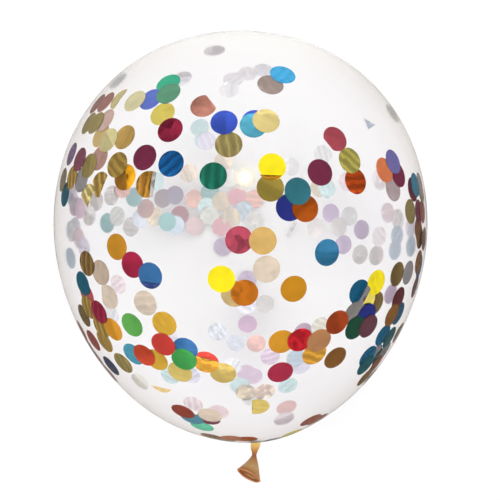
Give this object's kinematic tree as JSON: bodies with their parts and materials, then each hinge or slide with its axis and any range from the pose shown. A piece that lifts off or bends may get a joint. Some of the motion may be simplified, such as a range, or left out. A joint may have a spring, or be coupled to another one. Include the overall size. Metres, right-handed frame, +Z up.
{
  "type": "confetti balloon",
  "caption": "Clear round latex party balloon with foil confetti inside and a tan twisted neck, lying on its side.",
  "frame": {"origin": "middle of the flat spot under the girth that the balloon lies on, on the floor", "axes": "+Z up, +Y along the balloon's long axis from the neck to the crown, +X across the girth"},
  "size_m": [0.305, 0.3703, 0.3031],
  "materials": {
    "clear_latex": "stretched clear latex film, glossy, tan and opaque where it is unstretched at the neck"
  },
  "bodies": {
    "root": {"balloon": "clear_latex"}
  },
  "joints": []
}
